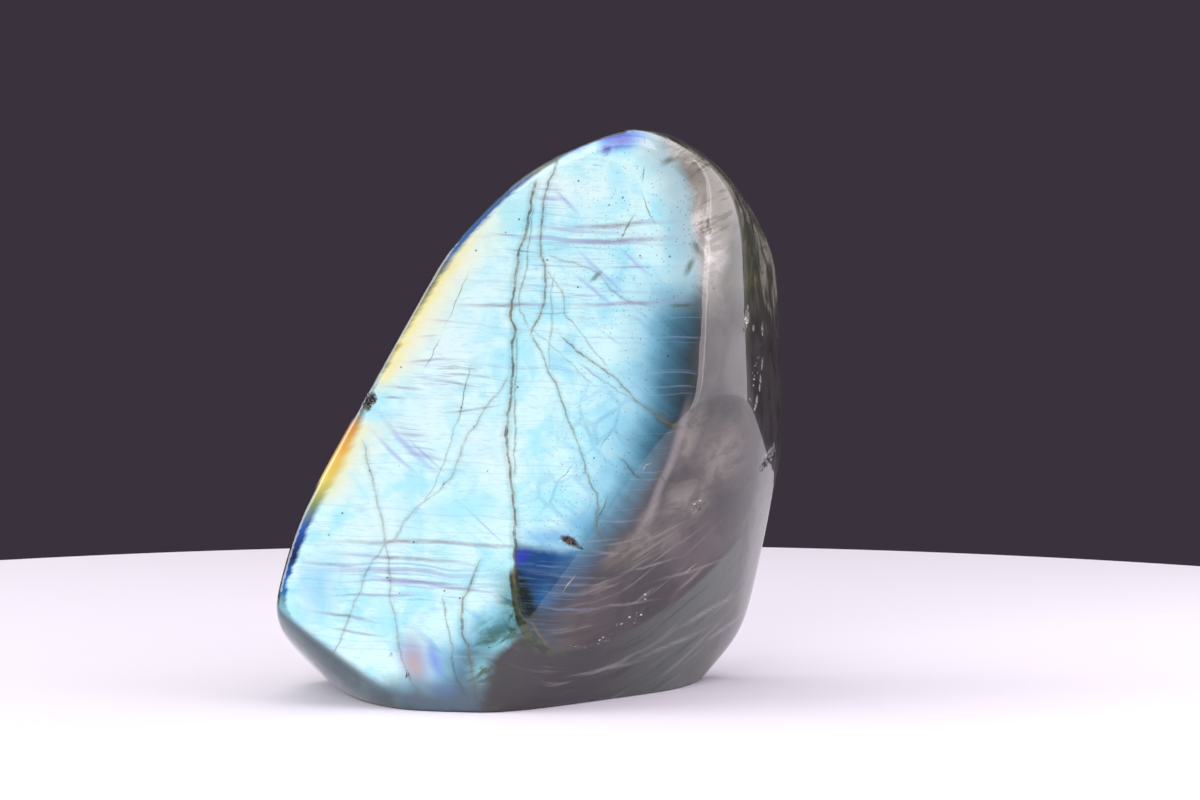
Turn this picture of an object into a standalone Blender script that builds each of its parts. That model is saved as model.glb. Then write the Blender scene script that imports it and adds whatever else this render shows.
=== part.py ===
"""A polished labradorite, hand size, that stands on its own flat sawn base.

A stone like this is one rough lump, ground by hand on a wheel. The lapidary lays one broad face
after another on it, blends each face into the next, and polishes the whole. So the shape here is
made in the same way: every ground face has a direction, a distance from the stone's middle and a
hardness, which says how little its edges were rounded off. Then the bottom is sawn flat.

+Z is up and -Y faces the viewer. The origin is in the middle of the box, on the surface that the
stone stands on.
"""
from math import cos, exp, radians, sin

import bmesh
import bpy
from mathutils import Vector

MM = 0.001

# Point inside the stone that every ground face is measured from, in mm
MIDDLE = Vector((-0.6, -0.45, 45.0))

# Ground faces: azimuth and elevation of the way each one looks, in degrees, its distance from the
# middle in mm, and its edge hardness per mm. Azimuth 0 faces the viewer and 90 faces right.
GROUND_FACES = {
    # Broad front face, the one that flashes
    "flash_face": (-9, 4, 20.5, 1.5),
    # Upright right-hand ridge, turning away from the front
    "turn_1": (6, 3, 26.0, 1.5),
    "turn_2": (20, 2, 30.5, 1.5),
    "turn_3": (33, 1, 34.0, 1.5),
    "turn_4": (45, 0, 37.0, 1.5),
    "turn_5": (56, 1, 39.0, 1.5),
    # The same ridge lower down, where it sweeps left and leans under
    "sweep_1": (10, -10, 30.0, 1.5),
    "sweep_2": (26, -18, 30.5, 1.5),
    "sweep_3": (41, -22, 30.5, 1.5),
    "sweep_4": (56, -20, 34.5, 1.5),
    # Right-hand side, with a crisp front edge
    "right_side": (75, 2, 40.5, 2.5),
    "right_hip": (74, -14, 39.5, 1.5),
    "right_under": (66, -34, 43.6, 1.0),
    "right_back": (106, 3, 46.5, 1.5),
    # Shoulder and top, from the right side over to the left slope
    "shoulder_low": (80, 18, 48.5, 1.5),
    "shoulder": (84, 34, 54.0, 1.5),
    "top_right": (84, 48, 57.0, 1.5),
    "top_right_high": (80, 62, 58.0, 1.5),
    "crown": (60, 78, 57.5, 1.5),
    "crown_left": (-120, 80, 48.5, 1.5),
    "top_left_high": (-110, 68, 41.5, 1.5),
    "top_left": (-108, 57, 36.0, 1.5),
    # Long left slope, with a narrow bevel along the front of it
    "upper_left": (-106, 44, 29.5, 1.5),
    "left_slope": (-102, 29, 25.0, 1.5),
    "left_bevel": (-60, 24, 33.0, 2.5),
    "left_tip": (-102, 15, 31.0, 1.5),
    # Lower left, rounded under towards the base
    "tip_under": (-90, -28, 59.0, 1.2),
    "left_under": (-76, -42, 54.9, 1.0),
    "left_under_low": (-68, -60, 54.5, 0.8),
    "left_foot": (-40, -34, 48.9, 0.7),
    "front_foot": (-8, -16, 35.0, 0.8),
    # Back, more softly rounded than the front
    "back": (178, 4, 22.5, 0.6),
    "back_left": (-146, 8, 26.0, 0.5),
    "back_right": (140, 4, 38.5, 0.6),
    "back_top": (172, 40, 33.0, 0.5),
    "back_foot": (176, -30, 38.0, 0.6),
}

# Rough lump before grinding: its half width, half depth and half height, in proportion
LUMP = Vector((0.9, 0.5, 1.0))
LUMP_SUBDIVISIONS = 5
LUMP_REACH = 90.0

# Mesh edges that turn by more than this are split in two, as often as this
CRISP_TURN = radians(12)
CRISP_ROUNDS = 2

# Sawn base: the shortest step along its rim, and how far that rim is eased
RIM_STEP = 0.7
RIM_EASE = 0.5

# How often the search for the surface halves its step, and a bound on how far outside it reads
HALVINGS = 30
FAR_OUTSIDE = 60.0


def facing(azimuth, elevation):
    """Unit vector that looks out from the stone at an azimuth and an elevation."""
    level = cos(radians(elevation))
    return Vector((
        sin(radians(azimuth)) * level,
        -cos(radians(azimuth)) * level,
        sin(radians(elevation)),
    ))


def remove_old_objects():
    for thing in list(bpy.context.scene.objects):
        bpy.data.objects.remove(thing, do_unlink=True)


def outside(offset, faces):
    """Say whether a point, given from the middle, lies outside the blended ground faces."""
    presses = [hard * (normal.dot(offset) - distance) for normal, distance, hard in faces]
    return sum(exp(min(press, FAR_OUTSIDE)) for press in presses) > 1.0


def ground_point(direction, faces):
    """Point of the ground surface along a direction from the middle."""
    near = 0.0
    far = LUMP_REACH
    for _ in range(HALVINGS):
        halfway = (near + far) / 2
        if outside(direction * halfway, faces):
            far = halfway
        else:
            near = halfway
    return MIDDLE + direction * near


def grind(verts, faces):
    """Bring each corner of the lump down, or up, to the ground surface."""
    for vert in verts:
        vert.co = ground_point((vert.co - MIDDLE).normalized(), faces)


def refine_crisp_edges(lump, faces):
    """Split the mesh along the stone's crisp edges, and grind the new corners too."""
    for _ in range(CRISP_ROUNDS):
        lump.normal_update()
        crisp = [edge for edge in lump.edges if edge.calc_face_angle(0.0) > CRISP_TURN]
        split = bmesh.ops.subdivide_edges(lump, edges=crisp, cuts=1)
        fresh = [item for item in split["geom_inner"] if isinstance(item, bmesh.types.BMVert)]
        grind(fresh, faces)
        bmesh.ops.triangulate(lump, faces=lump.faces[:])


def saw_base(lump):
    """Saw the bottom off flat at z = 0, close it with one face and ease its rim."""
    everything = lump.verts[:] + lump.edges[:] + lump.faces[:]
    bmesh.ops.bisect_plane(
        lump, geom=everything, dist=0.01, plane_co=(0, 0, 0), plane_no=(0, 0, 1), clear_inner=True)
    rim_corners = [vert for vert in lump.verts if vert.is_boundary]
    bmesh.ops.remove_doubles(lump, verts=rim_corners, dist=RIM_STEP)
    rim = [edge for edge in lump.edges if edge.is_boundary]
    bmesh.ops.contextual_create(lump, geom=rim)
    rim = [edge for edge in lump.edges if all(vert.co.z < 0.01 for vert in edge.verts)]
    bmesh.ops.bevel(
        lump, geom=rim, affect="EDGES", offset=RIM_EASE, segments=2, profile=0.5, material=-1)


def stone_material():
    material = bpy.data.materials.new("labradorite")
    material.use_nodes = True
    shader = material.node_tree.nodes["Principled BSDF"]
    shader.inputs["Base Color"].default_value = (0.26, 0.42, 0.45, 1.0)
    shader.inputs["Metallic"].default_value = 0.0
    shader.inputs["Roughness"].default_value = 0.15
    return material


def make_stone():
    faces = [(facing(azimuth, elevation), distance, hard)
             for azimuth, elevation, distance, hard in GROUND_FACES.values()]
    lump = bmesh.new()
    bmesh.ops.create_icosphere(lump, subdivisions=LUMP_SUBDIVISIONS, radius=1.0)
    for vert in lump.verts:
        vert.co = MIDDLE + vert.co * LUMP
    grind(lump.verts, faces)
    refine_crisp_edges(lump, faces)
    saw_base(lump)
    bmesh.ops.triangulate(lump, faces=lump.faces[:])
    bmesh.ops.dissolve_degenerate(lump, dist=0.005, edges=lump.edges[:])
    bmesh.ops.recalc_face_normals(lump, faces=lump.faces[:])
    bmesh.ops.scale(lump, vec=(MM, MM, MM), verts=lump.verts[:])

    mesh = bpy.data.meshes.new("labradorite")
    lump.to_mesh(mesh)
    lump.free()
    mesh.shade_smooth()
    mesh.set_sharp_from_angle(angle=radians(40))
    mesh.materials.append(stone_material())
    stone = bpy.data.objects.new("labradorite", mesh)
    bpy.context.scene.collection.objects.link(stone)


remove_old_objects()
make_stone()
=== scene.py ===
"""The looks of a polished labradorite that stands on its own sawn base."""
from math import cos, radians, sin

import bmesh
import bpy
import numpy as np
from mathutils import Euler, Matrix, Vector, noise


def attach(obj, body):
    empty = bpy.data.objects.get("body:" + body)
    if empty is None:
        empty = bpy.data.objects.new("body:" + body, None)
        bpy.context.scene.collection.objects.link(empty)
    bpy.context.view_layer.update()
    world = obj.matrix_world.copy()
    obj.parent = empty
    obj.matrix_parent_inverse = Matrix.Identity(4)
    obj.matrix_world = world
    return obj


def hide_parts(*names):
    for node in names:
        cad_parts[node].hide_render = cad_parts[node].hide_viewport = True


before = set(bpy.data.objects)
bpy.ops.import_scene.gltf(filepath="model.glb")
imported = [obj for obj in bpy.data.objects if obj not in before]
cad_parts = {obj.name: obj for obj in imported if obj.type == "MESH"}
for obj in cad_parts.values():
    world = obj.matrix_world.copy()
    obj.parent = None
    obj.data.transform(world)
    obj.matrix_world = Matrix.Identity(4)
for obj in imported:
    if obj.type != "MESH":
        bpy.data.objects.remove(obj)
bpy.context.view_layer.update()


# The stone: one piece of labradorite, a dark feldspar full of thin layers that flash blue and gold.
# It is a rough lump ground by hand on a wheel, one broad face laid after another on it and each
# blended into the next, sawn flat underneath and polished all over.

MM = 0.001

# Point inside the stone that every ground face is measured from, in mm
MIDDLE = Vector((-0.6, -0.45, 45.0))

# Ground faces: azimuth and elevation of the way each one looks, in degrees, its distance from the
# middle in mm, and its edge hardness per mm. Azimuth 0 faces the viewer and 90 faces right.
GROUND_FACES = {
    "flash_face": (-9, 4, 20.5, 1.5),
    "turn_1": (6, 3, 26.0, 1.5),
    "turn_2": (20, 2, 30.5, 1.5),
    "turn_3": (33, 1, 34.0, 1.5),
    "turn_4": (45, 0, 37.0, 1.5),
    "turn_5": (56, 1, 39.0, 1.5),
    "sweep_1": (10, -10, 30.0, 1.5),
    "sweep_2": (26, -18, 30.5, 1.5),
    "sweep_3": (41, -22, 30.5, 1.5),
    "sweep_4": (56, -20, 34.5, 1.5),
    "right_side": (75, 2, 40.5, 2.5),
    "right_hip": (74, -14, 39.5, 1.5),
    "right_under": (66, -34, 43.6, 1.0),
    "right_back": (106, 3, 46.5, 1.5),
    "shoulder_low": (80, 18, 48.5, 1.5),
    "shoulder": (84, 34, 54.0, 1.5),
    "top_right": (84, 48, 57.0, 1.5),
    "top_right_high": (80, 62, 58.0, 1.5),
    "crown": (60, 78, 57.5, 1.5),
    "crown_left": (-120, 80, 48.5, 1.5),
    "top_left_high": (-110, 68, 41.5, 1.5),
    "top_left": (-108, 57, 36.0, 1.5),
    "upper_left": (-106, 44, 29.5, 1.5),
    "left_slope": (-102, 29, 25.0, 1.5),
    "left_bevel": (-60, 24, 33.0, 2.5),
    "left_tip": (-102, 15, 31.0, 1.5),
    "tip_under": (-90, -28, 59.0, 1.2),
    "left_under": (-76, -42, 54.9, 1.0),
    "left_under_low": (-68, -60, 54.5, 0.8),
    "left_foot": (-40, -34, 48.9, 0.7),
    "front_foot": (-8, -16, 35.0, 0.8),
    "back": (178, 4, 22.5, 0.6),
    "back_left": (-146, 8, 26.0, 0.5),
    "back_right": (140, 4, 38.5, 0.6),
    "back_top": (172, 40, 33.0, 0.5),
    "back_foot": (176, -30, 38.0, 0.6),
}

LUMP = Vector((0.9, 0.5, 1.0))
LUMP_SUBDIVISIONS = 7
LUMP_REACH = 90.0
CRISP_TURN = radians(5)
RIM_STEP = 0.2
RIM_EASE = 0.5
HALVINGS = 30
FAR_OUTSIDE = 60.0

azimuths, elevations, DISTANCES, HARDNESSES = np.array(list(GROUND_FACES.values()), float).T
azimuths = np.radians(azimuths)
elevations = np.radians(elevations)
FACINGS = np.array([
    np.sin(azimuths) * np.cos(elevations),
    -np.cos(azimuths) * np.cos(elevations),
    np.sin(elevations),
])


def grind(verts):
    """Bring each corner, along its line from the middle, to the blended ground faces."""
    ways = np.array([(vert.co - MIDDLE).normalized() for vert in verts])
    near = np.zeros(len(ways))
    far = np.full(len(ways), LUMP_REACH)
    for _ in range(HALVINGS):
        halfway = (near + far) / 2
        press = HARDNESSES * ((ways * halfway[:, None]) @ FACINGS - DISTANCES)
        outside = np.exp(np.minimum(press, FAR_OUTSIDE)).sum(axis=1) > 1.0
        near, far = np.where(outside, near, halfway), np.where(outside, halfway, far)
    for vert, way, reach in zip(verts, ways, near):
        vert.co = MIDDLE + Vector(way) * float(reach)


def split(lump, edges):
    """Halve some of the mesh's edges and grind the new corners too."""
    parts = bmesh.ops.subdivide_edges(lump, edges=edges, cuts=1)
    grind([item for item in parts["geom_inner"] if isinstance(item, bmesh.types.BMVert)])
    bmesh.ops.triangulate(lump, faces=lump.faces[:])


lump = bmesh.new()
bmesh.ops.create_icosphere(lump, subdivisions=LUMP_SUBDIVISIONS, radius=1.0)
for vert in lump.verts:
    vert.co = MIDDLE + vert.co * LUMP
grind(lump.verts[:])
lump.normal_update()
split(lump, [edge for edge in lump.edges if edge.calc_face_angle(0.0) > CRISP_TURN])

# Places where the polish never reached the bottom of a hole, or a chip broke out of an edge. Each
# gives the side it is on, how far across and up it is, its half length, its half width, its tilt in
# degrees and its depth, in mm. Across runs along X on the front and along Y on the right side.
PITS = {
    "open_inclusion": ("front", 6.4, 29.0, 2.0, 0.9, -28, 0.55),
    "rim_notch": ("front", -27.4, 52.0, 1.5, 0.8, 62, 0.4),
    "sparkle_pit": ("front", 28.0, 33.6, 1.1, 0.6, 35, 0.35),
    "gold_pit_high": ("front", 29.2, 82.2, 0.7, 0.4, 80, 0.3),
    "gold_pit_low": ("front", 29.5, 80.9, 0.6, 0.45, -40, 0.3),
    "foot_pit_1": ("front", -23.7, 9.3, 0.45, 0.4, 0, 0.3),
    "foot_pit_2": ("front", -21.0, 6.0, 0.4, 0.4, 0, 0.3),
    "edge_chip_1": ("right", -14.3, 66.2, 1.5, 0.7, 84, 0.4),
    "edge_chip_2": ("right", -11.6, 64.2, 0.7, 0.5, 60, 0.3),
    "edge_chip_3": ("right", -5.6, 63.6, 1.1, 0.7, 80, 0.35),
    "crack_chip_1": ("right", -6.6, 57.6, 1.5, 0.6, 62, 0.35),
    "crack_chip_2": ("right", -8.6, 54.6, 1.6, 0.6, 66, 0.35),
    "crack_chip_3": ("right", -10.8, 51.6, 1.4, 0.5, 68, 0.3),
    "hip_step": ("right", 0.5, 41.2, 3.2, 1.2, 24, 0.5),
    "underline_chip_1": ("front", 8.2, 10.6, 2.6, 0.3, 6, 0.16),
    "underline_chip_2": ("front", 12.6, 11.3, 1.0, 0.35, 8, 0.2),
    "underline_chip_3": ("front", 18.6, 15.6, 1.2, 0.4, 30, 0.2),
}
RIGHT_SIDE_FROM = 25.0
PIT_MARGIN = 1.7
FINE_EDGE = 0.28
# How ragged a pit's outline and floor are, and how many lumps per mm each has
RAGGED_OUTLINE = 0.6
RAGGED_FLOOR = 0.5
OUTLINE_LUMPS = 1.7
FLOOR_LUMPS = 3.1


def pit_reach(places, pit):
    """How far corners are from a pit's middle in its own length and width: 1 is on its rim."""
    face, across, up, half_length, half_width, tilt, _ = pit
    on_face = places[:, 1] < 0 if face == "front" else places[:, 0] > RIGHT_SIDE_FROM
    aside = places[:, 0 if face == "front" else 1] - across
    above = places[:, 2] - up
    turn = radians(tilt)
    lengthwise = (aside * cos(turn) + above * sin(turn)) / half_length
    widthwise = (above * cos(turn) - aside * sin(turn)) / half_width
    return np.where(on_face, np.hypot(lengthwise, widthwise), FAR_OUTSIDE)


for _ in range(2):
    lump.verts.index_update()
    places = np.array([vert.co for vert in lump.verts])
    closeness = np.min([pit_reach(places, pit) for pit in PITS.values()], axis=0)
    split(lump, [edge for edge in lump.edges if edge.calc_length() > FINE_EDGE
                 and min(closeness[vert.index] for vert in edge.verts) < PIT_MARGIN])
corners = lump.verts[:]
places = np.array([vert.co for vert in corners])
for pit in PITS.values():
    inward = Vector((0.0, 1.0, 0.0)) if pit[0] == "front" else Vector((-1.0, 0.0, 0.0))
    reaches = pit_reach(places, pit)
    for number in np.flatnonzero(reaches < 2.0):
        spot_in_mm = Vector(places[number])
        ragged = 1.0 + RAGGED_OUTLINE * noise.noise(spot_in_mm * OUTLINE_LUMPS)
        reach = reaches[number] * ragged
        if reach < 1.0:
            floor = 1.0 + RAGGED_FLOOR * noise.noise(spot_in_mm * FLOOR_LUMPS)
            corners[number].co += inward * (pit[-1] * (1.0 - reach ** 3) * floor)

# Sawn base, with its rim eased
everything = lump.verts[:] + lump.edges[:] + lump.faces[:]
bmesh.ops.bisect_plane(
    lump, geom=everything, dist=0.01, plane_co=(0, 0, 0), plane_no=(0, 0, 1), clear_inner=True)
bmesh.ops.remove_doubles(lump, verts=[vert for vert in lump.verts if vert.is_boundary], dist=RIM_STEP)
bmesh.ops.contextual_create(lump, geom=[edge for edge in lump.edges if edge.is_boundary])
rim = [edge for edge in lump.edges if all(vert.co.z < 0.01 for vert in edge.verts)]
bmesh.ops.bevel(lump, geom=rim, affect="EDGES", offset=RIM_EASE, segments=3, profile=0.5, material=-1)
for vert in lump.verts:
    vert.co.z = max(vert.co.z, 0.0)
bmesh.ops.triangulate(lump, faces=lump.faces[:])
bmesh.ops.recalc_face_normals(lump, faces=lump.faces[:])
bmesh.ops.scale(lump, vec=(MM, MM, MM), verts=lump.verts[:])

stone_mesh = bpy.data.meshes.new("polished_stone")
lump.to_mesh(stone_mesh)
lump.free()
stone_mesh.shade_smooth()
stone_mesh.set_sharp_from_angle(angle=radians(50))
stone = bpy.data.objects.new("polished_stone", stone_mesh)
bpy.context.scene.collection.objects.link(stone)
print("stone triangles", len(stone_mesh.polygons))

labradorite = bpy.data.materials.new("labradorite")
labradorite.use_nodes = True
tree = labradorite.node_tree
finish = tree.nodes["Principled BSDF"]


def paint(red, green, blue):
    """Colour given as it looks on a screen, 0 to 255, turned into the shader's own scale."""
    parts = [part / 255 for part in (red, green, blue)]
    scaled = [part / 12.92 if part <= 0.04045 else ((part + 0.055) / 1.055) ** 2.4 for part in parts]
    return (*scaled, 1.0)


def feed(socket, value):
    """Set a socket, or join another node's output to it."""
    if isinstance(value, bpy.types.NodeSocket):
        tree.links.new(value, socket)
    else:
        socket.default_value = value


def calc(operation, *values):
    """One sum, product or other step of arithmetic."""
    node = tree.nodes.new("ShaderNodeMath")
    node.operation = operation
    for socket, value in zip(node.inputs, values):
        feed(socket, value)
    return node.outputs[0]


def both(*masks):
    """Where every one of the masks is up."""
    result = masks[0]
    for mask in masks[1:]:
        result = calc("MULTIPLY", result, mask)
    return result


def rise(value, low, high, bottom=0.0, top=1.0):
    """Smooth step from bottom, where the value is at low, to top, where it is at high."""
    node = tree.nodes.new("ShaderNodeMapRange")
    node.interpolation_type = "SMOOTHSTEP"
    node.clamp = False
    names = ("Value", "From Min", "From Max", "To Min", "To Max")
    for name, part in zip(names, (value, low, high, bottom, top)):
        feed(node.inputs[name], part)
    return node.outputs["Result"]


def over(mask, under, upper):
    """Lay one colour over another where the mask is up."""
    node = tree.nodes.new("ShaderNodeMix")
    node.data_type = "RGBA"
    factor, first, second = node.inputs[0], node.inputs[6], node.inputs[7]
    feed(factor, mask)
    feed(first, under)
    feed(second, upper)
    return node.outputs[2]


def vector_sum(operation, *values):
    """One step of arithmetic on places or directions."""
    node = tree.nodes.new("ShaderNodeVectorMath")
    node.operation = operation
    for socket, value in zip(node.inputs, values):
        feed(socket, value)
    return node


coordinates = tree.nodes.new("ShaderNodeTexCoord")


def mapped(stretch, turn):
    """The place in mm, turned by angles in degrees and then squeezed, so that a pattern stretches."""
    mapping = tree.nodes.new("ShaderNodeMapping")
    mapping.vector_type = "TEXTURE"
    mapping.inputs["Scale"].default_value = [part * MM for part in stretch]
    mapping.inputs["Rotation"].default_value = [radians(angle) for angle in turn]
    feed(mapping.inputs["Vector"], coordinates.outputs["Object"])
    return mapping.outputs["Vector"]


def grain(scale, detail=2.0, roughness=0.5, stretch=(1, 1, 1), turn=(0, 0, 0), swirl=0.0):
    """Cloudy noise with its middle at 0.5; scale is per mm."""
    node = tree.nodes.new("ShaderNodeTexNoise")
    node.inputs["Scale"].default_value = scale
    node.inputs["Detail"].default_value = detail
    node.inputs["Roughness"].default_value = roughness
    node.inputs["Distortion"].default_value = swirl
    feed(node.inputs["Vector"], mapped(stretch, turn))
    return node


def layers(height, detail=3.0, roughness=0.6):
    """Noise that changes with one height alone, as thin layers do."""
    node = tree.nodes.new("ShaderNodeTexNoise")
    node.noise_dimensions = "1D"
    node.inputs["Scale"].default_value = 1.0
    node.inputs["Detail"].default_value = detail
    node.inputs["Roughness"].default_value = roughness
    feed(node.inputs["W"], height)
    return node.outputs["Fac"]


def parts_of(vector):
    node = tree.nodes.new("ShaderNodeSeparateXYZ")
    feed(node.inputs[0], vector)
    return node.outputs


def channels_of(colour):
    node = tree.nodes.new("ShaderNodeSeparateColor")
    feed(node.inputs[0], colour)
    return node.outputs


def vector_of(*parts):
    node = tree.nodes.new("ShaderNodeCombineXYZ")
    for socket, value in zip(node.inputs, parts):
        feed(socket, value)
    return node.outputs[0]


def wander(scale, size, detail=3.0):
    """The place in mm, pushed about by a noise, so that lines drawn on it waver."""
    push = vector_of(*channels_of(grain(scale, detail).outputs["Color"])[:3])
    half_way_back = (-size / 2, -size / 2, -size / 2)
    push = vector_sum("MULTIPLY_ADD", push, (size, size, size), half_way_back).outputs[0]
    return vector_sum("ADD", here, push).outputs[0]


def along(value, points):
    """Height of a curve drawn through points, each one (place, height) in mm."""
    low, high = points[0][0], points[-1][0]
    heights = [height for _, height in points]
    bottom, top = min(heights) - 1.0, max(heights) + 1.0
    node = tree.nodes.new("ShaderNodeFloatCurve")
    curve = node.mapping.curves[0]
    places = [
        ((place - low) / (high - low), (height - bottom) / (top - bottom))
        for place, height in points]
    curve.points[0].location = places[0]
    curve.points[1].location = places[-1]
    for place in places[1:-1]:
        curve.points.new(*place)
    node.mapping.extend = "HORIZONTAL"
    node.mapping.update()
    step = tree.nodes.new("ShaderNodeMapRange")
    step.clamp = False
    for name, part in (("Value", value), ("From Min", low), ("From Max", high)):
        feed(step.inputs[name], part)
    feed(node.inputs["Value"], step.outputs["Result"])
    return calc("MULTIPLY_ADD", node.outputs["Value"], top - bottom, bottom)


def spot(place, across, up, half_length, half_width, tilt=0.0, core=0.0):
    """Soft oval on the front, seen from the front: 1 inside its core and 0 on its rim."""
    turn = radians(tilt)
    lengthwise = Vector((cos(turn), 0.0, sin(turn))) / half_length
    widthwise = Vector((-sin(turn), 0.0, cos(turn))) / half_width
    middle = Vector((across, 0.0, up))
    place_in_oval = vector_of(
        vector_sum("DOT_PRODUCT", place, lengthwise).outputs["Value"],
        vector_sum("DOT_PRODUCT", place, widthwise).outputs["Value"],
    )
    middle_in_oval = (lengthwise.dot(middle), widthwise.dot(middle), 0.0)
    reach = vector_sum("DISTANCE", place_in_oval, middle_in_oval).outputs["Value"]
    return rise(reach, 1.0, core)


def spots(place, ovals, core=0.0):
    """Several soft ovals in one mask."""
    result = spot(place, *ovals[0], core=core)
    for oval in ovals[1:]:
        result = calc("MAXIMUM", result, spot(place, *oval, core=core))
    return result


def vein(points, half_width, strength=1.0, fade=2.0, level=False):
    """Thin line with a soft halo, drawn on the front through points. An upright one gives (up, across)
    from its foot to its head, and a level one gives (across, up) from left to right."""
    run, aside = (jagged_across, jagged_up) if level else (jagged_up, jagged_across)
    first, last = points[0][0], points[-1][0]
    distance = calc("ABSOLUTE", calc("SUBTRACT", aside, along(run, points)))
    halo = rise(distance, half_width * 5.0, half_width, 0.0, 0.3 * strength)
    line = calc("MAXIMUM", rise(distance, half_width + 0.1, half_width * 0.6, 0.0, strength), halo)
    return both(line, rise(run, first, first + fade), rise(run, last, last - fade))


def veins(lines, level=False):
    """Several thin lines in one mask."""
    result = vein(*lines[0], level=level)
    for line in lines[1:]:
        result = calc("MAXIMUM", result, vein(*line, level=level))
    return result


here = vector_sum("MULTIPLY", coordinates.outputs["Object"], (1 / MM, 1 / MM, 1 / MM)).outputs[0]
across, deep, up = parts_of(here)
wavy = wander(0.09, 5.0)
wavy_across, _, wavy_up = parts_of(wavy)
gentle = wander(0.08, 2.0)
jagged = wander(0.4, 1.3)
jagged_across, _, jagged_up = parts_of(jagged)
facing_x, facing_y, facing_z = parts_of(coordinates.outputs["Normal"])
on_front = rise(facing_y, -0.1, -0.3)
off_back = rise(facing_y, 0.6, 0.3)

# How squarely a spot faces the way the flash comes out, 1 on the broad front face
FLASH_WAY = (-0.156, -0.985, 0.07)
squareness = vector_sum("DOT_PRODUCT", coordinates.outputs["Normal"], FLASH_WAY).outputs["Value"]

# Body: dark grey feldspar, cloudy, paler and greener on the shoulder and browner at the lower right
cloud = grain(0.07, 4.0, 0.55, swirl=0.6).outputs["Fac"]
body = over(rise(cloud, 0.35, 0.65), paint(44, 43, 40), paint(84, 82, 76))
shoulder = both(rise(wavy_up, 64.0, 74.0), rise(across, 18.0, 30.0))
body = over(shoulder, body, over(rise(cloud, 0.4, 0.6), paint(96, 97, 86), paint(140, 136, 124)))
lower_right = both(on_front, rise(wavy_up, 52.0, 40.0), rise(wavy_across, -2.0, 8.0))
body = over(lower_right, body, over(rise(cloud, 0.38, 0.62), paint(40, 32, 37), paint(78, 66, 68)))
combed = grain(1.0, 5.0, 0.65, (9.0, 9.0, 1.3), (0, -22, 0), 0.4).outputs["Fac"]
mottled = grain(0.3, 5.0, 0.65, (1.6, 1.6, 1.0), (0, -22, 0), 0.8).outputs["Fac"]
haze = spots(wavy, [
    (17.5, 27.5, 11.0, 4.5, 15), (26.0, 35.0, 9.0, 6.0, 40), (32.0, 42.0, 9.0, 7.0, 60),
    (25.5, 46.0, 9.0, 2.6, 68), (19.0, 32.0, 9.0, 2.4, 56),
])
body = over(
    both(on_front, haze), body,
    over(rise(mottled, 0.38, 0.62), paint(84, 78, 70), paint(122, 115, 108)))
milk = spots(wavy, [(28.2, 79.6, 12.0, 5.0, 97), (24.6, 94.0, 5.0, 3.0, -30)])
body = over(
    both(on_front, milk), body,
    over(rise(mottled, 0.36, 0.6), paint(166, 160, 150), paint(236, 229, 224)))

# Layers in the lower right, which sag like hammocks: each follows the same flat curve, lowest at
# SAG_MIDDLE across and bent by SAG_CURVE
SAG_MIDDLE = 4.7
SAG_CURVE = -0.0175
LAYERS_PER_MM = 0.75
from_middle = calc("SUBTRACT", across, SAG_MIDDLE)
sag = calc("MULTIPLY_ADD", calc("POWER", from_middle, 2.0), SAG_CURVE, up)
under_line = both(on_front, rise(sag, 10.6, 9.4), rise(across, -14.0, 2.0))
below = over(rise(wavy_across, 8.0, 28.0), paint(50, 45, 50), paint(82, 88, 84))
body = over(under_line, body, below)
slow = grain(0.05, 2.0).outputs["Fac"]
layer_height = calc("MULTIPLY_ADD", slow, 3.0, calc("MULTIPLY", sag, LAYERS_PER_MM))
layer_place = vector_of(calc("MULTIPLY", across, 0.06), calc("MULTIPLY", deep, 0.04), layer_height)
layer_noise = tree.nodes.new("ShaderNodeTexNoise")
layer_noise.inputs["Scale"].default_value = 1.0
layer_noise.inputs["Detail"].default_value = 4.0
layer_noise.inputs["Roughness"].default_value = 0.62
feed(layer_noise.inputs["Vector"], layer_place)
layer_noise = layer_noise.outputs["Fac"]
layer_zone = both(on_front, rise(wavy_up, 34.0, 24.0), rise(across, -8.0, 6.0))
body = over(both(layer_zone, rise(layer_noise, 0.54, 0.70), 0.55), body, paint(138, 130, 124))
body = over(both(layer_zone, rise(layer_noise, 0.45, 0.34), 0.5), body, paint(30, 26, 29))

# Threads of green-brown mineral that run through the whole stone
cracked = tree.nodes.new("ShaderNodeTexVoronoi")
cracked.feature = "DISTANCE_TO_EDGE"
cracked.inputs["Scale"].default_value = 0.06
feed(cracked.inputs["Vector"], mapped((1.0, 0.8, 1.5), (10, 25, 0)))
thread = rise(cracked.outputs["Distance"], 0.022, 0.004)
patchy = rise(grain(0.13, 3.0).outputs["Fac"], 0.42, 0.58)
body = over(both(thread, patchy, rise(wavy_up, 40.0, 60.0, 0.25, 0.75)), body, paint(58, 56, 30))
streak = grain(1.0, 5.0, 0.65, (3.6, 4.2, 9.0), (18, 0, 0), 1.0).outputs["Fac"]
side_zone = both(rise(facing_y, -0.62, -0.35), rise(facing_y, 0.8, 0.4), rise(wavy_up, 58.0, 70.0))
body = over(both(side_zone, rise(streak, 0.52, 0.42), 0.9), body, paint(50, 54, 34))
body = over(both(side_zone, rise(streak, 0.55, 0.62), 0.75), body, paint(160, 160, 140))
olive_streak = both(shoulder, rise(patchy, 0.2, 0.8), rise(combed, 0.52, 0.62))
body = over(both(olive_streak, 0.7), body, paint(84, 82, 44))
lower_side = both(rise(facing_y, -0.62, -0.4), rise(wavy_up, 68.0, 60.0), rise(across, 20.0, 30.0))
body = over(lower_side, body, over(rise(streak, 0.4, 0.6), paint(38, 36, 35), paint(60, 58, 54)))

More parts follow.
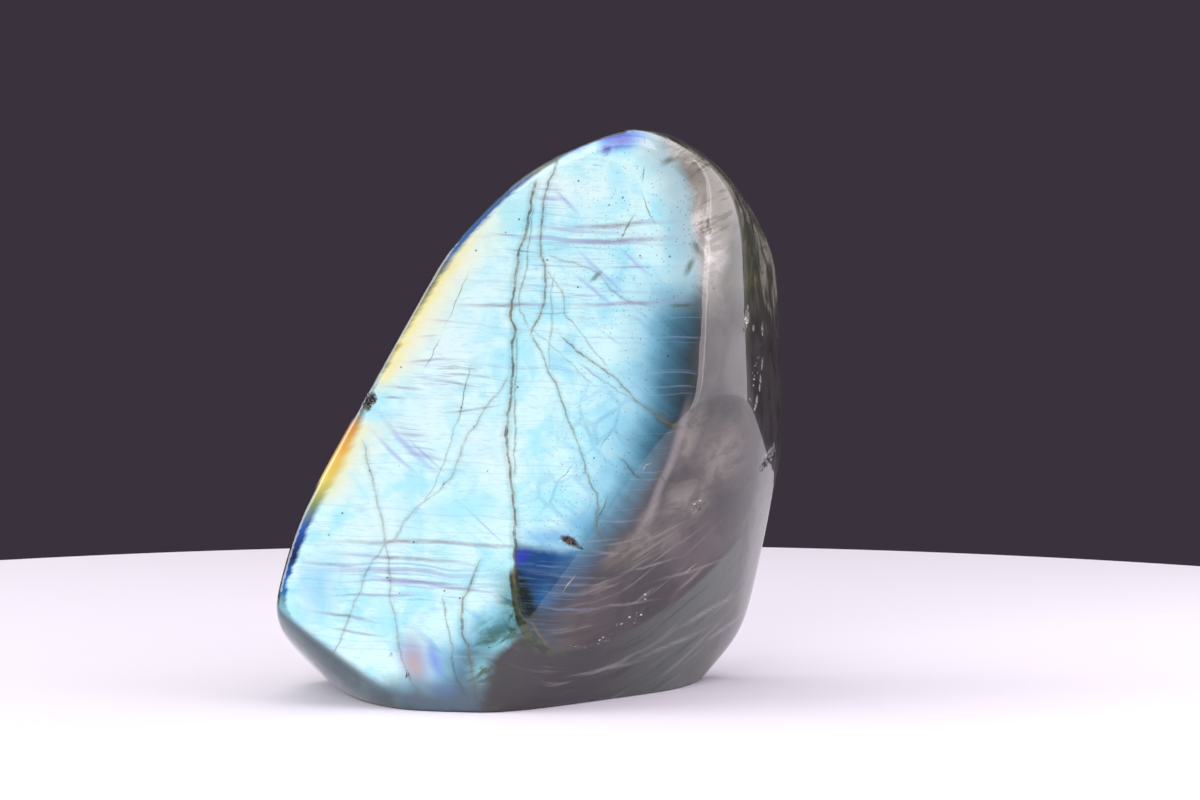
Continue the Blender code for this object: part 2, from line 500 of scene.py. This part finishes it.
# Back: the same stone seen where it hardly flashes, with faint layers and a muted blue-green gleam
on_back = rise(facing_y, 0.1, 0.6)
back_layers = grain(1.0, 5.0, 0.6, (18.0, 18.0, 2.6), (0, -16, 0), 0.6).outputs["Fac"]
body = over(both(on_back, rise(back_layers, 0.50, 0.64), 0.6), body, paint(100, 102, 94))
body = over(both(on_back, rise(back_layers, 0.46, 0.36), 0.6), body, paint(32, 33, 32))
back_gleam = both(
    on_back, spots(wavy, [(-8.0, 42.0, 17.0, 13.0, 60), (8.0, 66.0, 14.0, 8.0, 50)]),
    rise(mottled, 0.38, 0.6))
body = over(
    both(back_gleam, 0.75), body, over(rise(cloud, 0.4, 0.6), paint(30, 62, 84), paint(58, 112, 122)))

# Flash: its right-hand limit by height
FLASH_LIMIT = [
    (0, -8.5), (8, -6.5), (12.5, -1.5), (16, 3), (19, 7.5), (23, 10), (28.5, 15.5), (32.5, 18.6),
    (37.5, 21.4), (42.5, 23.8), (47.5, 25.6), (52.5, 26.8), (61, 28), (69, 28.8), (78, 28.4),
    (84, 27.6), (89.5, 26.6), (93, 25), (98, 22),
]
inside_right = calc("SUBTRACT", along(up, FLASH_LIMIT), wavy_across)
milky = grain(0.16, 4.0, 0.6, swirl=0.5).outputs["Fac"]
flash = over(rise(milky, 0.35, 0.62), paint(176, 242, 252), paint(218, 255, 254))

# Paler, bluer and more cyan clouds in the flash
pale = spots(wavy, [
    (-15.0, 58.0, 30.0, 9.0, 62), (-26.0, 30.0, 13.0, 8.0, 50), (-8.0, 45.0, 9.0, 10.0),
    (6.0, 88.0, 13.0, 6.0),
])
flash = over(both(pale, 0.7), flash, paint(234, 255, 253))
sky = spots(wavy, [
    (14.0, 72.0, 13.0, 9.0, 20), (6.0, 60.0, 8.0, 7.0), (14.0, 52.0, 7.0, 12.0, 30),
    (9.0, 40.0, 6.0, 7.0),
])
flash = over(
    both(sky, 0.7), flash, over(rise(milky, 0.4, 0.58), paint(160, 226, 246), paint(196, 247, 254)))
cyan = spots(wavy, [
    (2.0, 35.0, 5.0, 4.0), (-12.0, 34.0, 8.0, 4.0, 10), (-6.0, 24.0, 5.0, 4.0),
    (4.0, 78.0, 8.0, 3.0),
])
flash = over(both(cyan, rise(milky, 0.36, 0.56), 0.6), flash, paint(150, 238, 250))
above_window = spots(gentle, [(4.0, 29.6, 9.0, 2.6, -4), (9.0, 32.0, 6.0, 4.0, 30)])
flash = over(both(above_window, 0.75), flash, paint(88, 168, 226))

# The flash dims in steps towards its limit up to the shoulder, and greys there above it
slanted = grain(1.0, 4.0, 0.6, (14.0, 14.0, 1.6), (0, 38, 0), 0.2).outputs["Fac"]
inside_right = calc("MULTIPLY_ADD", slanted, 2.6, calc("SUBTRACT", inside_right, 1.3))
dim_part = rise(wavy_up, 76.0, 64.0)
flash = over(both(dim_part, rise(inside_right, 16.0, 7.0, 0.0, 0.9)), flash, paint(128, 194, 220))
flash = over(both(dim_part, rise(inside_right, 10.5, 4.5)), flash, paint(72, 124, 146))
flash = over(both(dim_part, rise(inside_right, 6.5, 1.0)), flash, paint(44, 62, 70))
flash = over(
    both(rise(wavy_up, 66.0, 78.0), rise(inside_right, 9.0, 2.0), 0.7), flash, paint(168, 186, 192))

# Cells between the finest healed cracks, and fine streaks, level and slanted
meshed = tree.nodes.new("ShaderNodeTexVoronoi")
meshed.feature = "DISTANCE_TO_EDGE"
meshed.inputs["Scale"].default_value = 0.23
feed(meshed.inputs["Vector"], mapped((1.0, 1.0, 1.3), (0, 30, 20)))
mesh_zone = spots(wavy, [(12.0, 48.0, 12.0, 12.0, 20), (5.0, 37.0, 8.0, 7.0)])
flash = over(
    both(mesh_zone, rise(meshed.outputs["Distance"], 0.10, 0.01), 0.4), flash, paint(104, 176, 214))
fine = grain(1.0, 5.0, 0.75, (2.6, 2.6, 0.45), (0, 2, 0)).outputs["Fac"]
bright_part = rise(inside_right, 5.0, 12.0)
flash = over(both(rise(fine, 0.5, 0.32), bright_part, 0.35), flash, paint(150, 196, 214))
slanted_part = both(rise(slanted, 0.46, 0.36), bright_part, rise(inside_right, 24.0, 8.0, 0.15, 1.0))
flash = over(both(slanted_part, rise(wavy_up, 86.0, 76.0), 0.4), flash, paint(124, 190, 226))

# Violet-grey bands, where a layer lies a little askew and flashes less
wisps = grain(1.0, 5.0, 0.7, (11.0, 11.0, 0.55), (0, 2, 0), 0.3).outputs["Fac"]
wisp_zone = spots(
    wavy, [(-20.0, 22.0, 26.0, 9.0, -3), (8.0, 73.0, 19.0, 10.0, 2), (-12.0, 56.0, 13.0, 8.0, -4)])
wisp_mask = both(wisp_zone, rise(wisps, 0.53, 0.66))
flash = over(
    both(wisp_mask, 0.75), flash,
    over(rise(cloud, 0.4, 0.6), paint(150, 162, 176), paint(158, 168, 212)))
violet_zone = spots(wavy, [
    (-22.0, 23.0, 24.0, 4.0, -3), (8.0, 80.0, 14.0, 4.5, 2), (3.0, 86.0, 4.0, 5.0),
    (-20.0, 46.0, 9.0, 3.0, -38),
])
band_noise = layers(
    calc("MULTIPLY_ADD", slow, 6.0, calc("MULTIPLY_ADD", across, 0.06, calc("MULTIPLY", up, 1.2))))
flash = over(both(violet_zone, rise(band_noise, 0.45, 0.62), 0.8), flash, paint(168, 180, 214))
flash = over(both(rise(band_noise, 0.60, 0.70), 0.22), flash, paint(160, 178, 212))
BANDS = [
    (-4.0, 68.4, 11.5, 0.55, 1), (16.5, 68.9, 14.0, 0.6, 3), (3.2, 67.0, 5.0, 0.2, 2),
    (-4.0, 80.2, 4.0, 0.2, -4), (14.0, 81.9, 13.0, 0.7, 3), (14.5, 79.3, 13.0, 0.8, 3),
    (-1.5, 77.4, 4.5, 0.25, -6), (16.5, 75.0, 5.0, 0.3, 2), (-16.0, 65.8, 3.8, 0.3, -6),
    (-18.0, 63.1, 3.0, 0.3, -2), (-18.0, 58.9, 7.0, 0.4, 3), (-13.6, 55.3, 6.0, 0.35, -4),
    (-22.0, 54.3, 5.0, 0.4, -5), (-23.6, 52.6, 3.0, 0.35, -2), (-10.2, 51.2, 7.0, 0.3, 8),
    (-16.5, 28.3, 25.0, 0.65, -0.5), (-19.0, 21.8, 11.5, 0.5, -6), (-34.0, 24.4, 6.5, 0.5, -5),
    (-32.0, 15.8, 8.5, 0.45, -8), (-30.0, 13.2, 6.5, 0.4, -8), (-22.0, 25.6, 17.0, 0.5, -4),
    (-12.0, 20.6, 8.0, 0.4, -6), (-27.0, 19.3, 10.0, 0.35, 3), (-6.0, 12.8, 6.0, 0.3, 2),
]
band_colour = over(rise(cloud, 0.42, 0.58), paint(146, 150, 160), paint(158, 160, 196))
flash = over(both(spots(gentle, BANDS), rise(fine, 0.36, 0.56, 0.35, 0.9)), flash, band_colour)
SLANTS = [
    (6.0, 85.8, 4.0, 0.6, -45), (11.5, 74.0, 7.5, 0.6, -44), (17.5, 75.5, 4.8, 0.5, -41),
    (-21.0, 45.0, 9.5, 0.9, -44), (-23.5, 43.8, 8.0, 0.6, -42), (-18.0, 43.5, 6.0, 0.4, -44),
    (10.5, 71.0, 6.0, 0.5, -38), (-8.0, 31.5, 6.5, 0.25, -42),
]
flash = over(both(spots(gentle, SLANTS), 0.6), flash, paint(156, 172, 226))

# Patches of other colours in the flash
blue_edge = spots(jagged, [(7.0, 95.6, 8.0, 2.8, 20), (14.4, 96.6, 7.0, 3.4, 6)])
flash = over(blue_edge, flash, paint(44, 128, 236))
flash = over(
    both(spots(jagged, [(14.6, 96.2, 4.6, 2.6, 4), (12.4, 94.6, 2.2, 1.4, 30)]), 0.9), flash,
    paint(84, 88, 190))
flash = over(both(spot(gentle, -19.6, 8.6, 4.6, 6.6, 14), 0.95), flash, paint(158, 156, 196))
flash = over(both(spot(gentle, -19.6, 7.6, 2.4, 3.6, 10), 0.8), flash, paint(186, 170, 158))
flash = over(both(spot(gentle, -16.0, 8.6, 1.6, 4.6, 14), 0.7), flash, paint(96, 130, 226))
flash = over(both(spot(gentle, -15.0, 3.6, 3.6, 1.8, -12), 0.7), flash, paint(92, 124, 200))
teal = spots(wavy, [(-5.4, 12.0, 7.0, 7.0, 20), (-3.8, 19.0, 3.0, 7.0), (-9.0, 6.0, 4.0, 6.0)])
flash = over(
    both(teal, 0.9), flash, over(rise(mottled, 0.4, 0.56), paint(64, 126, 130), paint(132, 198, 208)))
olive_zone = spots(wavy, [(-5.6, 11.0, 5.6, 6.0, 30), (-8.8, 6.0, 3.0, 7.0), (-3.2, 16.0, 1.6, 6.0)])
flash = over(both(olive_zone, rise(mottled, 0.56, 0.44), 0.9), flash, paint(74, 94, 62))
foot = both(rise(wavy_up, 7.0, 1.5), rise(across, -34.0, -24.0))
flash = over(foot, flash, paint(72, 94, 110))
flash = over(both(spot(gentle, -36.5, 20.0, 10.0, 5.5, 74), 0.6), flash, paint(156, 212, 242))

# Deep blue window right of the main crack, under the strong band, with a painted shadow down its edge
# beside the crack
window_top = calc("MULTIPLY_ADD", wavy_across, 0.12, jagged_up)
window_right = calc("MULTIPLY_ADD", wavy_up, -0.45, wavy_across)
window_left = calc(
    "SUBTRACT", jagged_across,
    along(up, [(8, 5.0), (10.6, 2.0), (14.8, -1.4), (20.8, -2.8), (30, -3.0)]))
window = both(
    on_front, rise(window_left, -0.2, 0.4), rise(window_top, 29.2, 26.8), rise(sag, 9.5, 11.5),
    rise(window_right, 1.5, -8.5),
)
deep_blue = over(rise(wavy_up, 18.0, 26.0), paint(18, 46, 74), paint(24, 74, 132))
deep_blue = over(both(spot(wavy, 7.0, 28.0, 7.0, 2.6), 0.7), deep_blue, paint(54, 116, 176))
deep_blue = over(both(spot(jagged, -1.9, 26.4, 2.8, 1.9, 40), 0.75), deep_blue, paint(52, 56, 190))
# Painted shadow: a near-black sliver beside the main crack, the shade in a shallow groove along it
deep_blue = over(both(spot(jagged, -1.0, 19.6, 7.0, 1.8, 108, 0.3), 0.95), deep_blue, paint(10, 14, 24))
deep_blue = over(both(spot(wavy, 2.4, 20.4, 2.6, 3.4, 40), 0.8), deep_blue, paint(22, 92, 150))
deep_blue = over(both(spot(wavy, 3.0, 14.0, 3.0, 2.0, 20), 0.7), deep_blue, paint(20, 62, 92))
deep_blue = over(both(rise(wisps, 0.5, 0.64), 0.5), deep_blue, paint(96, 134, 168))

# The flash lies where the stone faces forward squarely enough, and the window lies over it
least_square = rise(across, -6.0, 4.0, 0.72, 0.5)
lower_rim = both(
    rise(squareness, least_square, calc("ADD", least_square, 0.2)), rise(inside_right, -0.6, 2.4))
colour = over(lower_rim, body, flash)
colour = over(window, colour, deep_blue)

# Pale streaks across the window and the layers beside it
PALE_STREAKS = [
    (6.0, 23.0, 9.0, 0.35, -5), (7.0, 21.6, 8.0, 0.3, -2), (5.0, 20.4, 7.0, 0.35, -6),
    (4.0, 24.6, 6.0, 0.25, -4), (6.6, 17.6, 8.5, 0.4, -8), (16.0, 17.4, 8.0, 0.4, 4),
    (20.0, 24.0, 8.0, 0.35, 12), (27.0, 22.4, 9.0, 0.45, 12), (12.0, 27.0, 5.0, 0.4, -8),
    (15.0, 28.6, 5.0, 0.3, 6), (22.0, 29.6, 6.0, 0.4, 24), (30.0, 14.0, 9.0, 0.8, 24),
    (24.0, 9.0, 10.0, 0.7, 18), (33.0, 10.0, 6.0, 0.6, 30), (14.0, 6.0, 8.0, 0.6, 8),
]
pale_streaks = both(on_front, spots(gentle, PALE_STREAKS), rise(fine, 0.4, 0.6, 0.4, 0.9))
colour = over(
    both(pale_streaks, 0.75), colour,
    over(rise(across, 6.0, 16.0), paint(120, 134, 160), paint(140, 134, 132)))

# Green edge under the window, and a painted highlight down the ridge, a pale line where its edge
# catches the light, with a dark streak beside it
CRESCENT = [
    (8.6, 4.0), (10.6, 1.8), (12.5, 0.0), (14.8, -1.6), (17.5, -2.4), (20.8, -2.9), (25.0, -3.0),
]
crescent_colour = over(rise(mottled, 0.42, 0.56), paint(30, 42, 26), paint(64, 78, 44))
colour = over(both(on_front, vein(CRESCENT, 1.0, 0.95)), colour, crescent_colour)
RIDGE = [(30, 18.4), (32.5, 19.6), (36.7, 20.9), (42.8, 23.5), (50.5, 25.7), (58, 27.4)]
ridge_distance = calc("ABSOLUTE", calc("SUBTRACT", across, along(up, RIDGE)))
ridge_highlight_heights = both(on_front, rise(up, 29.0, 37.0), rise(up, 55.0, 48.0))
# Painted highlight: a pale grey line along the ridge that stands in for the light its edge catches
colour = over(both(ridge_highlight_heights, rise(ridge_distance, 1.2, 0.1), 0.45), colour, paint(160, 152, 156))
strip_streak = both(on_front, spot(jagged, 29.2, 55.0, 9.0, 0.6, 72), 0.45)
colour = over(strip_streak, colour, paint(72, 64, 66))

# Left rim: a narrow bevel that flashes gold, orange and blue by turns, dark again outside it
RIM_COLOURS = [
    (0, (84, 96, 100)), (14, (92, 120, 128)), (18, (40, 120, 130)), (21, (34, 100, 180)),
    (26, (16, 34, 80)), (31, (40, 90, 170)), (35, (130, 150, 100)), (39, (224, 206, 104)),
    (43, (232, 184, 84)), (47, (206, 146, 66)), (49.5, (110, 130, 130)), (51.5, (22, 38, 34)),
    (53, (36, 70, 90)), (56, (50, 100, 130)), (59, (110, 116, 60)), (62, (146, 136, 60)),
    (67, (116, 116, 66)), (74, (110, 116, 90)), (78, (60, 100, 150)), (84, (60, 96, 150)),
    (89, (80, 110, 150)), (91, (120, 130, 90)), (93, (16, 84, 92)), (96, (60, 140, 220)),
    (100, (60, 110, 190)),
]
rim_ramp = tree.nodes.new("ShaderNodeValToRGB")
rim_stops = rim_ramp.color_ramp.elements
rim_stops[0].position = 0.0
rim_stops[0].color = paint(*RIM_COLOURS[0][1])
rim_stops[1].position = 1.0
rim_stops[1].color = paint(*RIM_COLOURS[-1][1])
for height, shade in RIM_COLOURS[1:-1]:
    rim_stops.new(height / 100).color = paint(*shade)
feed(rim_ramp.inputs[0], calc("DIVIDE", wavy_up, 100.0))
turned_left = both(rise(facing_x, -0.165, -0.20), rise(facing_z, -0.12, 0.0), off_back)
LEFT_OUTLINE = [
    (0, -22), (5, -32), (10, -37.5), (18.5, -42.5), (26, -40.5), (36, -36.5), (44, -32.5),
    (52.5, -28.5), (61, -24), (69.5, -19), (77.5, -13.5), (86, -5.5), (94.5, 6.5), (98, 16),
]
# The outline slopes, so a spot is nearer to it than the way straight across, by this share
SLOPE_SHARE = 0.87
inside_left = calc("MULTIPLY", calc("SUBTRACT", across, along(up, LEFT_OUTLINE)), SLOPE_SHARE)
worn_left = calc("MULTIPLY_ADD", combed, -1.6, calc("ADD", inside_left, 0.8))

# Cream and yellow inside the rim, the rim's own colours, the grey underside and the dark outside
cream_height = calc(
    "MAXIMUM", both(rise(up, 52.0, 58.0), rise(up, 88.0, 72.0)),
    both(rise(up, 33.0, 38.0), rise(up, 50.0, 47.0), 0.7))
cream_edge = calc("MULTIPLY_ADD", slow, 6.0, calc("SUBTRACT", worn_left, 3.0))
colour = over(
    both(on_front, cream_height, rise(cream_edge, 8.0, 2.5), 0.85), colour, paint(250, 249, 218))
yellow_part = both(on_front, cream_height, rise(worn_left, 3.8, 1.2), rise(fine, 0.35, 0.6, 0.4, 0.9))
colour = over(yellow_part, colour, paint(244, 234, 150))
rim_width = along(up, [
    (0, 1.0), (30, 1.2), (36, 1.8), (44, 2.3), (49, 1.8), (53, 1.4), (62, 1.7), (80, 1.6),
    (100, 1.4),
])
rim_glow = both(
    on_front, rise(worn_left, rim_width, calc("MULTIPLY", rim_width, 0.3)), rise(up, 12.0, 20.0))
colour = over(rim_glow, colour, rim_ramp.outputs["Color"])
under_left = both(rise(facing_z, -0.15, -0.42), rise(across, -4.0, -16.0), rise(facing_y, 0.1, -0.15))
under_colour = over(rise(cloud, 0.4, 0.6), paint(60, 84, 94), paint(86, 112, 120))
colour = over(both(under_left, 0.85), colour, under_colour)
gold_height = both(rise(up, 36.0, 40.0), rise(up, 50.0, 48.0))
outer_rim = both(turned_left, rise(squareness, 0.90, 0.78), rise(gold_height, 1.0, 0.0, 0.3, 1.0))
colour = over(outer_rim, colour, over(rise(cloud, 0.4, 0.6), paint(18, 24, 40), paint(44, 48, 50)))

# Healed cracks, drawn from the foot of each to its head
CRACKS = [
    # The long upright one in the middle, and the strand beside it
    ([(8.6, 9.0), (10.6, 3.4), (14.8, 0.1), (17.5, -2.3), (20.8, -3.0), (25.9, -2.9), (36.2, -3.0),
      (38.7, -3.4), (41.2, -3.8), (43.9, -4.3), (47.6, -4.3), (50.3, -3.9), (52.8, -3.4),
      (58.1, -3.3), (61.8, -3.3), (64.3, -2.8), (66.8, -3.6), (70.8, -2.9), (74.8, -2.6),
      (76.9, -2.1), (79.2, -1.3), (82.0, -0.6), (86.7, -0.1), (90.0, 1.0)], 0.24),
    ([(38.7, -2.8), (42.6, -2.9), (47.6, -2.9), (52.8, -2.8), (58.1, -2.6),
      (64.3, -2.6)], 0.12, 0.6),
    # Its right-hand strand, from the top
    ([(62.6, -0.6), (65.0, 0.4), (67.0, 1.4), (69.7, 2.1), (74.5, 2.2), (77.9, 1.4), (81.4, 1.6),
      (83.9, 2.1), (86.1, 2.1), (88.9, 2.7), (90.1, 3.4), (95.0, 5.0)], 0.19, 0.85),
    ([(64.1, -0.1), (66.5, -1.4), (68.2, -2.1), (73.7, -1.3), (76.2, -0.8), (79.4, -0.3),
      (86.1, 0.2)], 0.10, 0.6),
    ([(57.3, 13.4), (61.8, 9.8), (65.0, 7.4), (67.0, 5.6), (70.0, 5.3), (73.2, 3.2),
      (75.7, 1.6)], 0.11, 0.5),
    ([(57.0, 3.1), (60.5, 2.9), (65.0, 3.4), (68.5, 3.3), (72.3, 3.4), (74.3, 4.1)], 0.10, 0.45),
    # Lower right of it, down to the inclusion
    ([(27.2, 13.6), (28.5, 12.6), (30.9, 11.1), (32.5, 10.8), (35.4, 11.1), (38.7, 9.9),
      (41.2, 8.9), (43.7, 8.4), (47.6, 6.8), (49.9, 5.9), (53.6, 4.6), (56.6, 3.1), (60.0, 1.6),
      (64.3, -0.3)], 0.16, 0.7),
    # Lower left ones
    ([(1.3, -18.0), (3.4, -19.3), (6.1, -20.8), (10.1, -22.3), (13.5, -22.8), (18.0, -23.7),
      (22.5, -24.0), (28.7, -24.7), (34.5, -26.0), (40.7, -27.4), (46.1, -29.0)], 0.2, 0.5),
    ([(7.3, -34.7), (13.5, -31.9), (18.2, -30.0), (23.2, -28.0), (27.4, -25.2), (28.7, -23.7),
      (33.9, -19.8), (37.4, -15.3), (40.2, -13.3), (44.9, -11.5), (48.3, -9.6), (51.3, -7.6),
      (54.6, -5.1), (57.6, -2.8)], 0.18, 0.5),
    ([(27.9, -24.0), (31.7, -21.2), (35.9, -17.8), (40.9, -15.2), (46.1, -13.5), (51.3, -12.0),
      (58.8, -10.0)], 0.09, 0.45),
    ([(1.3, -9.3), (7.3, -10.1), (10.1, -10.6), (13.5, -11.5), (17.5, -11.8), (21.2, -10.6),
      (25.0, -9.0), (26.5, -7.5)], 0.2, 0.8),
    ([(1.3, -10.1), (5.5, -12.5), (9.5, -13.5), (11.8, -13.5), (15.8, -14.5),
      (20.2, -15.2)], 0.12, 0.6),
]
cracks = veins(CRACKS)
LEVEL_CRACKS = [
    ([(-2.8, 66.0), (0.6, 63.8), (4.7, 60.6), (8.1, 57.3), (11.1, 54.3)], 0.08, 0.4),
    ([(2.2, 77.0), (4.1, 76.2), (7.3, 75.5), (9.6, 74.3), (11.3, 73.3), (13.4, 71.0), (16.8, 69.0),
      (20.6, 68.5)], 0.13, 0.45),
    ([(4.1, 64.3), (6.9, 61.5), (10.3, 59.1), (13.6, 56.5), (16.6, 53.6), (19.8, 50.9),
      (24.8, 47.6)], 0.2, 0.8),
    ([(7.0, 59.8), (11.0, 56.6), (15.0, 53.8), (19.0, 51.9), (24.0, 49.6)], 0.07, 0.5),
    ([(13.8, 44.1), (15.5, 42.2), (18.8, 39.1), (20.5, 37.2)], 0.16, 0.8),
]
cracks = calc("MAXIMUM", cracks, veins(LEVEL_CRACKS, level=True))
worn = rise(grain(0.7, 4.0, 0.7).outputs["Fac"], 0.36, 0.60, 0.55, 1.0)
crack_mask = both(on_front, cracks, worn)
crack_colour = over(
    rise(grain(0.22, 2.0).outputs["Fac"], 0.45, 0.6), paint(70, 72, 64), paint(112, 102, 72))
colour = over(both(crack_mask, 0.85), colour, crack_colour)

# Olive threads in the flash: short thin ovals
OLIVE = [
    (16.0, 81.5, 3.6, 0.28, 62), (19.3, 84.6, 4.4, 0.16, -68), (10.6, 73.2, 2.2, 0.5, 42),
    (11.8, 34.6, 3.6, 0.25, 68), (-12.6, 69.4, 6.8, 0.16, 66), (-16.8, 60.2, 4.2, 0.16, 64),
    (-11.6, 52.6, 6.6, 0.12, 76), (21.8, 39.6, 3.0, 0.35, -44), (23.6, 48.6, 2.6, 0.7, -20),
    (5.6, 40.4, 3.2, 0.12, 52), (12.3, 46.0, 3.0, 0.12, 60), (27.5, 78.0, 2.0, 1.0, -50),
    (25.2, 68.6, 3.4, 0.5, 2), (23.0, 92.6, 2.2, 1.1, 20), (18.6, 90.4, 1.8, 0.25, 80),
    (26.4, 75.0, 2.4, 1.0, 60),
]
colour = over(both(on_front, spots(jagged, OLIVE), 0.7), colour, paint(80, 80, 42))

# Specks, dark ones in the flash and white crumbs where the polish broke open

def specks(scale, size, share, zone, stretch=(1, 1, 1)):
    """Scattered dots: scale is per mm, size is a share of their spacing, and share is how many show."""
    node = tree.nodes.new("ShaderNodeTexVoronoi")
    node.inputs["Scale"].default_value = scale
    feed(node.inputs["Vector"], mapped(stretch, (0, 0, 0)))
    chosen = channels_of(node.outputs["Color"])[0]
    return both(
        rise(node.outputs["Distance"], size, size * 0.5), calc("LESS_THAN", chosen, share), zone)


speckled = both(on_front, rise(inside_right, 30.0, 10.0), rise(up, 14.0, 30.0))
colour = over(both(specks(1.5, 0.24, 0.6, speckled), 0.5), colour, paint(58, 80, 84))
colour = over(both(specks(0.4, 0.09, 0.3, on_front), 0.8), colour, paint(40, 40, 36))
crumb_zone = spots(jagged, [
    (8.2, 10.6, 3.2, 0.5, 6), (12.8, 11.5, 2.6, 0.9, 10), (17.0, 14.6, 4.2, 1.3, 24),
    (19.2, 18.4, 2.0, 0.8, 10), (36.0, 66.0, 0.6, 2.0, 0), (37.6, 56.0, 0.7, 8.0, -14),
    (27.8, 34.4, 1.6, 1.0, 30), (40.2, 41.4, 0.5, 1.6, 0),
], core=0.3)
crumbs = both(
    specks(1.9, 0.5, 0.45, crumb_zone, (1.9, 1.5, 0.8)),
    rise(grain(1.4, 2.0).outputs["Fac"], 0.46, 0.54), off_back)
colour = over(both(crumbs, 0.9), colour, paint(232, 222, 218))
scratches = spots(
    jagged, [(26.8, 22.6, 2.0, 0.12, 32), (6.2, 22.0, 2.4, 0.16, 54), (19.2, 41.6, 1.4, 0.1, 50)])
colour = over(both(on_front, scratches, 0.8), colour, paint(206, 186, 158))
hollow = spot(jagged, 6.4, 29.0, 2.1, 1.0, -28, core=0.55)
hollow_colour = over(
    rise(grain(1.2, 2.0).outputs["Fac"], 0.45, 0.6), paint(20, 14, 14), paint(96, 66, 60))
colour = over(both(on_front, hollow), colour, hollow_colour)
colour = over(
    both(on_front, spot(jagged, -27.4, 51.8, 1.9, 1.1, 62, core=0.5)), colour, paint(16, 26, 24))

# Sawn base: left as the saw and a coarse lap leave it
sawn = rise(facing_z, -0.9, -0.98)
saw_lines = grain(1.0, 3.0, 0.6, (0.5, 16.0, 1.0), (0, 0, 24)).outputs["Fac"]
colour = over(sawn, colour, over(rise(saw_lines, 0.35, 0.65), paint(62, 62, 58), paint(92, 92, 86)))

# Polish: a clear gloss over a softer body, gently rippled, with the healed cracks a little sunk
BODY_ROUGHNESS = 0.38
SAWN_ROUGHNESS = 0.75
RELIEF_DEPTH = 0.00008
feed(finish.inputs["Base Color"], colour)
feed(finish.inputs["Roughness"], rise(sawn, 0.0, 1.0, BODY_ROUGHNESS, SAWN_ROUGHNESS))
feed(finish.inputs["Coat Weight"], rise(sawn, 0.0, 1.0, 1.0, 0.1))
finish.inputs["Metallic"].default_value = 0.0
finish.inputs["Specular IOR Level"].default_value = 0.2
finish.inputs["Coat Roughness"].default_value = 0.02
finish.inputs["Coat IOR"].default_value = 1.57
relief = tree.nodes.new("ShaderNodeBump")
relief.inputs["Strength"].default_value = 0.5
relief.inputs["Distance"].default_value = RELIEF_DEPTH
ripple = calc("MULTIPLY", grain(0.3, 1.5).outputs["Fac"], 0.6)
height = calc("SUBTRACT", ripple, calc("MULTIPLY", crack_mask, 0.8))
feed(relief.inputs["Height"], calc("SUBTRACT", height, both(sawn, saw_lines)))
feed(finish.inputs["Normal"], relief.outputs["Normal"])
feed(finish.inputs["Coat Normal"], relief.outputs["Normal"])
stone_mesh.materials.append(labradorite)
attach(stone, "root")
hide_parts("labradorite")


# The table: a round white photo table of painted board, matt, that runs on behind the stone to its
# own far edge. Its top is a hair below the stone's base, so that the two never share a plane.
TABLE_RADIUS = 0.28
TABLE_CENTRE = (0.0, -0.053, -0.00005)
table_form = bmesh.new()
bmesh.ops.create_circle(table_form, cap_ends=True, radius=TABLE_RADIUS, segments=256)
bmesh.ops.translate(table_form, vec=TABLE_CENTRE, verts=table_form.verts[:])
table_mesh = bpy.data.meshes.new("table_top")
table_form.to_mesh(table_mesh)
table_form.free()
table_top = bpy.data.objects.new("table_top", table_mesh)
bpy.context.scene.collection.objects.link(table_top)
white_board = bpy.data.materials.new("white_board")
white_board.use_nodes = True
board = white_board.node_tree.nodes["Principled BSDF"]
board.inputs["Base Color"].default_value = (0.94, 0.885, 0.97, 1.0)
board.inputs["Roughness"].default_value = 0.8
table_mesh.materials.append(white_board)


# Light: soft boxes in a dim room. One is overhead, one in front at the left and one at the far left.
# A broad one at the right, with a brighter front edge, shows as the milky strip down the stone's
# right-hand ridge.

def soft_box(name, place, aim, width, height, watts, tint=(1.0, 1.0, 1.0)):
    """Rectangular studio light that looks from its place to its aim."""
    lamp = bpy.data.lights.new(name, "AREA")
    lamp.shape = "RECTANGLE"
    lamp.size = width
    lamp.size_y = height
    lamp.energy = watts
    lamp.color = tint
    holder = bpy.data.objects.new(name, lamp)
    holder.location = place
    holder.rotation_euler = (Vector(aim) - Vector(place)).to_track_quat("-Z", "Y").to_euler()
    holder.visible_camera = False
    bpy.context.scene.collection.objects.link(holder)


soft_box("overhead_box", (0.0, -0.10, 0.75), (0.0, 0.0, 0.0), 1.4, 1.0, 6.6)
soft_box("front_box", (-0.25, -0.75, 0.50), (0.0, 0.0, 0.05), 0.5, 0.4, 2.2)
soft_box("left_box", (-0.60, -0.05, 0.22), (-0.03, 0.0, 0.03), 0.4, 0.4, 2.6)
soft_box("right_box", (0.30, -0.045, 0.105), (0.03, -0.02, 0.06), 0.31, 0.29, 0.68, (0.95, 0.9, 1.0))
soft_box(
    "right_edge_box", (0.248, -0.179, 0.11), (0.03, -0.02, 0.06), 0.03, 0.28, 0.085, (0.97, 0.93, 1.0))

room = bpy.data.worlds.new("dim_room")
room.use_nodes = True
room.node_tree.nodes["Background"].inputs["Color"].default_value = paint(58, 50, 60)
room.node_tree.nodes["Background"].inputs["Strength"].default_value = 1.0
bpy.context.scene.world = room


# The camera: a long lens about 58 cm in front of the stone and nearly as high as its top, looking
# down at it by about four degrees.
lens = bpy.data.cameras.new("camera")
lens.lens = 100.0
lens.sensor_width = 36.0
lens.sensor_fit = "HORIZONTAL"
camera = bpy.data.objects.new("camera", lens)
camera.location = (0.0114, -0.5775, 0.0915)
camera.rotation_euler = Euler((radians(86), 0.0, 0.0))
bpy.context.scene.collection.objects.link(camera)
bpy.context.scene.camera = camera
bpy.context.scene.view_settings.view_transform = "Standard"
